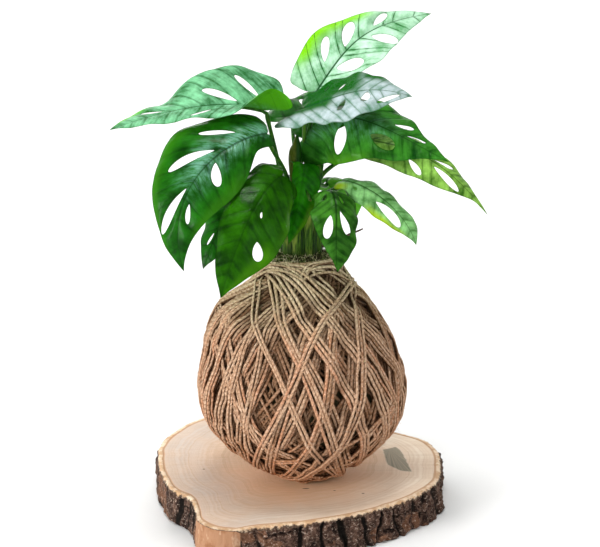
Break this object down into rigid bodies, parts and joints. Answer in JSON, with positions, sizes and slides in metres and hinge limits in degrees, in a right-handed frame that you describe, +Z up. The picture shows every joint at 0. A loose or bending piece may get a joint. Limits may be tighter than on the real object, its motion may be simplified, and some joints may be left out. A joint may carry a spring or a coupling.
{
  "type": "kokedama house plant",
  "caption": "Swiss cheese vine with holed heart-shaped leaves, growing from a moss ball wound with jute twine that stands on a bark-edged slice of log.",
  "frame": {"origin": "on the underside of the log slice, straight below the axis of the wound ball", "axes": "+Z up; -Y towards the front, the side the plant is shown from; +X to its right"},
  "size_m": [0.2593, 0.2378, 0.3695],
  "materials": {
    "wood": "sawn, unvarnished, bark on the rim",
    "twine": "natural jute, fuzzy",
    "moss": "dark, fibrous",
    "soil": "dark, crumbly",
    "stalk": "satin, living stem",
    "blade": "glossy, living leaf",
    "aerial_root": "matt, dry"
  },
  "bodies": {
    "root": {"aerial_root": "aerial_root", "leaf_back_left_blade": "blade", "leaf_back_left_stalk": "stalk", "leaf_back_right_blade": "blade", "leaf_back_right_stalk": "stalk", "leaf_back_upper_blade": "blade", "leaf_back_upper_stalk": "stalk", "leaf_centre_hanging_blade": "blade", "leaf_centre_hanging_stalk": "stalk", "leaf_far_right_blade": "blade", "leaf_far_right_stalk": "stalk", "leaf_front_centre_blade": "blade", "leaf_front_centre_stalk": "stalk", "leaf_front_right_blade": "blade", "leaf_front_right_stalk": "stalk", "leaf_left_hanging_blade": "blade", "leaf_left_hanging_stalk": "stalk", "leaf_low_left_blade": "blade", "leaf_low_left_stalk": "stalk", "leaf_low_right_blade": "blade", "leaf_low_right_stalk": "stalk", "leaf_mid_right_blade": "blade", "leaf_mid_right_stalk": "stalk", "leaf_top_right_blade": "blade", "leaf_top_right_stalk": "stalk", "leaf_upper_left_blade": "blade", "leaf_upper_left_stalk": "stalk", "leaf_upper_right_blade": "blade", "leaf_upper_right_stalk": "stalk", "moss_wrap": "moss", "rolled_young_leaf": "stalk", "soil_ball": "soil", "stem_back_left": "stalk", "stem_back_right": "stalk", "stem_front_left": "stalk", "stem_front_right": "stalk", "stem_left": "stalk", "stem_right": "stalk", "twine_winding": "twine", "wood_slice": "wood"}
  },
  "joints": []
}
